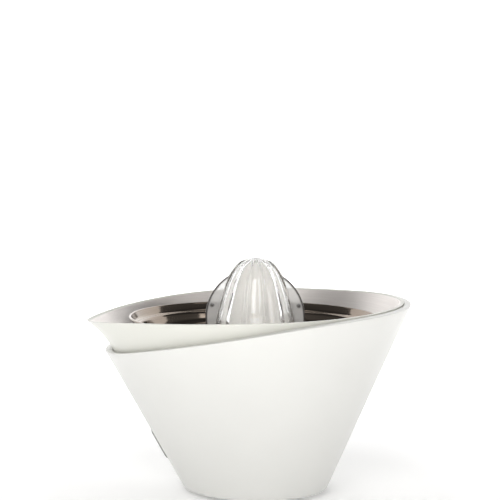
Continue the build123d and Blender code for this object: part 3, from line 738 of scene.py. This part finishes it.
def make_strainer():
    bead = []
    for t in np.arange(16) * TAU / 16:
        r = STRAINER_RADIUS - STRAINER_BEAD + STRAINER_BEAD * math.cos(t)
        bead.append((r, STRAINER_TOP - STRAINER_BEAD + STRAINER_BEAD * math.sin(t)))
    piece = join("strainer_full", [make_bowl(), turned("bead", bead, 240)])
    stands_for(piece, "strainer_bowl", "polished_steel", "strainer")


# ---- return spring -------------------------------------------------------------------------------
def make_spring():
    """The spring under the shaft, with a flat turn at each end, at one fixed length."""
    low = SPRING_SEAT + SPRING_WIRE / 2
    rise = SPRING_TOP - SPRING_SEAT - SPRING_WIRE
    around = np.arange(12) * TAU / 12
    radius = SPRING_RADIUS + SPRING_WIRE / 2 * np.cos(around)
    rings = []
    for turn in np.linspace(-1, SPRING_TURNS + 1, 36 * (SPRING_TURNS + 2) + 1):
        z = low + rise * min(max(turn / SPRING_TURNS, 0), 1) + SPRING_WIRE / 2 * np.sin(around)
        rings.append(np.stack([radius * math.cos(TAU * turn), radius * math.sin(TAU * turn), z], 1))
    piece = from_rings("return_spring_full", rings, closed=False)
    stands_for(piece, "housing", "zinc_steel", "return_spring")
    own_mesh(piece)


# ---- reamer --------------------------------------------------------------------------------------
def crest(angles, sharpness):
    """1 on the crest of each ridge and 0 in the middle of each flute. A wing stands between two ridges."""
    return (1 - np.abs(np.cos(angles * FLUTES / 2)))**sharpness


def core_outline(growth):
    """The core's outline from foot to tip, moved out by an amount."""
    points = in_metres(CORE_LINE)
    foot = points[0][1]
    tip = points[-1][1]
    line = dense(points, 7)
    line[:, 0] = np.maximum(line[:, 0], 0)
    moved = []
    for r, z in line:
        part = max(0.0, (z - foot) / (tip - foot))
        moved.append((r + growth * (r > 0.4 * MM), z + growth * part**2))
    return moved


def make_core():
    angles = np.arange(REAMER_AROUND) * TAU / REAMER_AROUND
    outline = core_outline(0.0)
    foot = outline[0][1]
    rings = []
    for r, z in outline[:-1]:
        up = min(1.0, (z - foot) / LEAF_HEIGHT)
        pleat = 1 - PLEAT_DEPTH * (1 - crest(angles, 0.3 + 0.9 * up))
        rings.append(flat_ring(np.maximum(r * pleat, LEAST_RADIUS), angles, z))
    inner = [(max(r - CORE_HOLLOW, LEAST_RADIUS), z - CORE_ROOF * (z > foot)) for r, z in outline[:-8]]
    rings += [flat_ring(r, angles, z) for r, z in inner[::-1]]
    cone = from_rings("core", rings, sharp_angle=60)
    stem = turned("stem", in_metres(STEM_OUTLINE), STEM_SIDES)
    stands_for(join("reamer_core_full", [cone, stem]), "core", "pearl_plastic", "reamer_core")


def cover_ring(r, z):
    """One ring of the cover's outside: a fluted cone with a flat wing on each side."""
    thick = min(WING_THICKNESS, 0.5 * r)
    reach = math.sqrt(max(WING_RADIUS**2 - (z - WING_CENTRE_Z)**2, 0))
    ridge = RIDGE_HEIGHT * min(1.0, r / (12 * MM))
    root_angle = math.asin(min(0.95, thick / 2 / r))
    tip = max(reach, r + ridge * 0.8)
    half = []
    for t in np.linspace(0, math.pi / 2, 6):
        half.append((tip - thick / 2 + thick / 2 * math.cos(t), thick / 2 * math.sin(t)))
    root = (r + ridge * 0.35) * math.cos(root_angle)
    for part in np.linspace(0, 1, 12)[1:-1]**0.7:
        half.append(((tip - thick / 2) * (1 - part) + root * part, thick / 2))
    quarter = []
    for angle in np.linspace(root_angle, math.pi / 2, 49):
        wide = r + ridge * float(crest(np.array(angle), 2.2))
        quarter.append((wide * math.cos(angle), wide * math.sin(angle)))
    first = half + quarter
    second = [(-x, y) for x, y in first[::-1]][1:]
    upper = first + second
    lower = [(x, -y) for x, y in upper[::-1]][1:-1]
    return np.array([(x, y, z) for x, y in upper + lower])


def make_pip(x, side):
    """A low round button on one face of a wing, a hair's breadth clear of it."""
    around = 24
    near = side * (WING_THICKNESS / 2 + 0.02 * MM)
    far = side * PIP_THICKNESS / 2
    angles = np.arange(around) * TAU / around
    rings = []
    for radius, y in ((PIP_RADIUS, near), (PIP_RADIUS, far - side * 0.2 * MM), (PIP_RADIUS - 0.3 * MM, far)):
        across = x + radius * np.cos(angles)
        rings.append(np.stack([across, np.full(around, y), PIP_Z + radius * np.sin(angles)], 1))
    return from_rings("pip", rings, closed=False)


def make_cover():
    outside = core_outline(COVER_GAP + COVER_WALL)
    inside = core_outline(COVER_GAP)
    rings = [cover_ring(max(r, 0.9 * MM), z) for r, z in outside[:-1]]
    angles = np.unwrap(np.arctan2(rings[0][:, 1], rings[0][:, 0]))
    for r, z in inside[::-1]:
        rings.append(flat_ring(max(r, LEAST_RADIUS), angles, z))
    dome = from_rings("cover", rings, sharp_angle=70)
    pips = [make_pip(x, side) for x in (-PIP_X, PIP_X) for side in (-1, 1)]
    piece = join("reamer_cover_full", [dome] + pips)
    stands_for(piece, "cover", "clear_plastic", "reamer_cover")


# ---- studio --------------------------------------------------------------------------------------
def make_floor():
    """A pale floor that sweeps up into a backdrop, and glows a little away from the object."""
    bend_start = BACKDROP_AT - BACKDROP_BEND
    outline = [(-FLOOR_REACH, 0.0), (bend_start, 0.0)]
    for t in np.linspace(0, math.pi / 2, 16)[1:]:
        outline.append((bend_start + BACKDROP_BEND * math.sin(t), BACKDROP_BEND * (1 - math.cos(t))))
    outline.append((BACKDROP_AT, BACKDROP_HEIGHT))
    vertices = [(x, y, z) for y, z in outline for x in (-FLOOR_REACH, FLOOR_REACH)]
    faces = [(2 * i, 2 * i + 1, 2 * i + 3, 2 * i + 2) for i in range(len(outline) - 1)]
    floor = new_object("studio_floor", vertices, faces)
    n = Nodes("studio_paper")
    paper = n.ramp(n.noise(3, 2), (0.91, 0.91, 0.91), (0.93, 0.93, 0.93), 0.3, 0.7)
    n.link(paper, n.shader.inputs["Base Color"])
    x, y, _ = n.split(n.coordinates())
    n.link(n.grey(n.length(x, y), 0.18, 0.9, 0.14, 0.42), n.shader.inputs["Emission Strength"])
    n.set(Roughness=0.9, Emission_Color=(1, 1, 1, 1))
    floor.data.materials.append(n.material)


def make_light(name, place, size, power, colour):
    data = bpy.data.lights.new(name, "AREA")
    data.shape = "RECTANGLE"
    data.size, data.size_y = size
    data.energy = power
    data.color = colour
    lamp = bpy.data.objects.new(name, data)
    lamp.location = place
    lamp.rotation_euler = (Vector(LIGHT_AIM) - Vector(place)).to_track_quat("-Z", "Y").to_euler()
    bpy.context.scene.collection.objects.link(lamp)


def make_lights():
    make_light("key", (-0.4, -1.65, 1.25), (0.9, 0.9), 13, (1, 0.995, 0.98))
    make_light("front_fill", (-0.1, -2.4, 0.45), (1.8, 0.9), 10.5, (1, 0.99, 0.98))
    make_light("top_fill", (0, 0.1, 1.7), (1.4, 1.4), 6, (1, 0.99, 0.98))
    make_light("right_fill", (1.5, -1.0, 0.6), (0.4, 0.8), 2, (1, 0.98, 0.97))


def make_world():
    """A pale horizon under a dark ceiling, a little darker at the sides."""
    world = bpy.data.worlds.new("studio")
    bpy.context.scene.world = world
    world.use_nodes = True
    tree = world.node_tree
    coordinates = tree.nodes.new("ShaderNodeTexCoord")
    split = tree.nodes.new("ShaderNodeSeparateXYZ")
    tree.links.new(coordinates.outputs["Generated"], split.inputs[0])

    def ramp(source, values):
        node = tree.nodes.new("ShaderNodeMapRange")
        tree.links.new(source, node.inputs["Value"])
        for key, value in zip(("From Min", "From Max", "To Min", "To Max"), values):
            node.inputs[key].default_value = value
        return node.outputs["Result"]

    def combine(operation, a, b=None):
        node = tree.nodes.new("ShaderNodeMath")
        node.operation = operation
        tree.links.new(a, node.inputs[0])
        if b is not None:
            tree.links.new(b, node.inputs[1])
        return node.outputs[0]

    height = ramp(split.outputs["Z"], (0.08, 0.6, 0.85, 0.12))
    side = ramp(combine("ABSOLUTE", split.outputs["X"]), (0.4, 0.95, 1.0, 0.35))
    background = tree.nodes["Background"]
    tree.links.new(combine("MULTIPLY", height, side), background.inputs["Strength"])
    background.inputs["Color"].default_value = (1.0, 0.99, 0.98, 1)


def make_camera():
    """A long lens, almost level with the rims, square to the line from the beak to the drive axis."""
    data = bpy.data.cameras.new("camera")
    data.sensor_width = CAMERA_SENSOR
    data.lens = CAMERA_LENS
    data.clip_start = 0.05
    data.clip_end = 20
    camera = bpy.data.objects.new("camera", data)
    back = Vector((0, -math.cos(CAMERA_ELEVATION), math.sin(CAMERA_ELEVATION)))
    camera.location = Vector(CAMERA_TARGET) + back * CAMERA_DISTANCE
    aimed = (-back).to_track_quat("-Z", "Y").to_matrix().to_4x4()
    camera.rotation_euler = (aimed @ Matrix.Rotation(CAMERA_ROLL, 4, "Z")).to_euler()
    bpy.context.scene.collection.objects.link(camera)
    bpy.context.scene.camera = camera


# ---- put together --------------------------------------------------------------------------------
finish_cad_nodes()
make_body()
make_jug()
make_liner()
make_strainer()
make_spring()
make_core()
make_cover()
make_floor()
make_lights()
make_world()
make_camera()
bpy.context.scene.view_settings.view_transform = "Standard"
